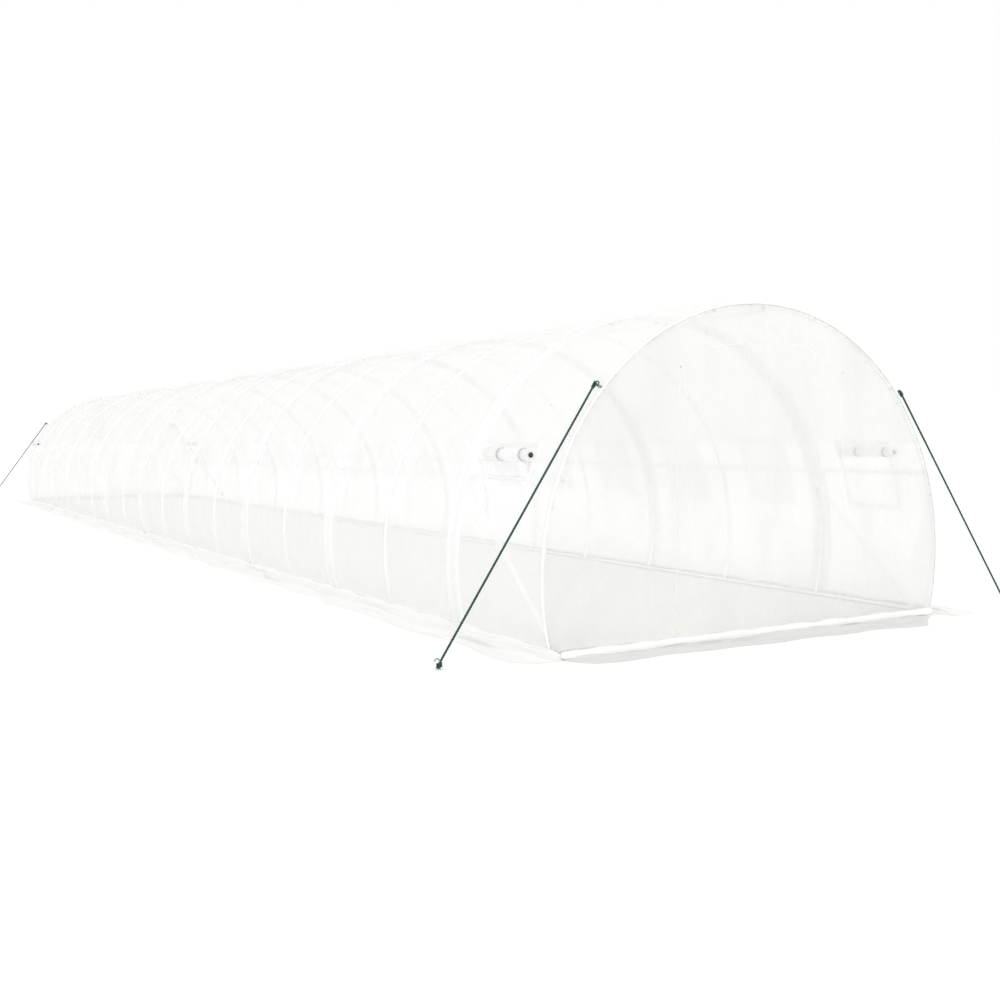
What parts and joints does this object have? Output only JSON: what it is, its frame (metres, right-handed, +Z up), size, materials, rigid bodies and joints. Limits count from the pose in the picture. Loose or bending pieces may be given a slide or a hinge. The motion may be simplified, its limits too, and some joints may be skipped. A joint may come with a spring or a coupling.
{
  "type": "polytunnel greenhouse",
  "caption": "Long arched tunnel greenhouse: steel hoops and purlins under a white film cover with zipped film ends, screened side windows with flaps, ground skirts and guy ropes",
  "frame": {"origin": "on the ground under the middle of the tunnel", "axes": "+X across the tunnel to the right seen from the front end, +Y along the tunnel from the front end to the rear, +Z up"},
  "size_m": [4.44, 18.725, 1.9518],
  "materials": {
    "galvanised_tube": "pale galvanised steel tube, dull",
    "cover_film": "translucent white polyethylene film",
    "end_film": "clear polyethylene film with soft creases",
    "insect_net": "fine white insect net",
    "webbing": "woven white webbing",
    "green_rope": "laid dark green polypropylene rope",
    "zinc_wire": "zinc plated round wire"
  },
  "bodies": {
    "root": {"hoop_legs": "galvanised_tube", "hoop_haunches": "galvanised_tube", "hoop_shoulders": "galvanised_tube", "hoop_crowns": "galvanised_tube", "ridge_purlin": "galvanised_tube", "left_purlin": "galvanised_tube", "right_purlin": "galvanised_tube", "left_base_rail": "galvanised_tube", "right_base_rail": "galvanised_tube", "front_base_rail": "galvanised_tube", "rear_base_rail": "galvanised_tube", "end_braces": "galvanised_tube", "left_low_film": "cover_film", "left_window_film": "cover_film", "left_shoulder_film": "cover_film", "left_crown_film": "cover_film", "right_low_film": "cover_film", "right_window_film": "cover_film", "right_shoulder_film": "cover_film", "right_crown_film": "cover_film", "cover_seam_bands": "cover_film", "left_window_screens": "insect_net", "right_window_screens": "insect_net", "left_window_flaps": "cover_film", "right_window_flaps": "cover_film", "left_flap_rolls": "cover_film", "right_flap_rolls": "cover_film", "flap_ties": "webbing", "left_skirt": "cover_film", "right_skirt": "cover_film", "front_skirt": "cover_film", "rear_skirt": "cover_film", "front_side_panels": "end_film", "front_top_panel": "end_film", "front_zip_door": "end_film", "rear_side_panels": "end_film", "rear_top_panel": "end_film", "rear_zip_door": "end_film", "guy_ropes": "green_rope", "rope_eyelets": "zinc_wire", "ground_pegs": "zinc_wire"}
  },
  "joints": []
}
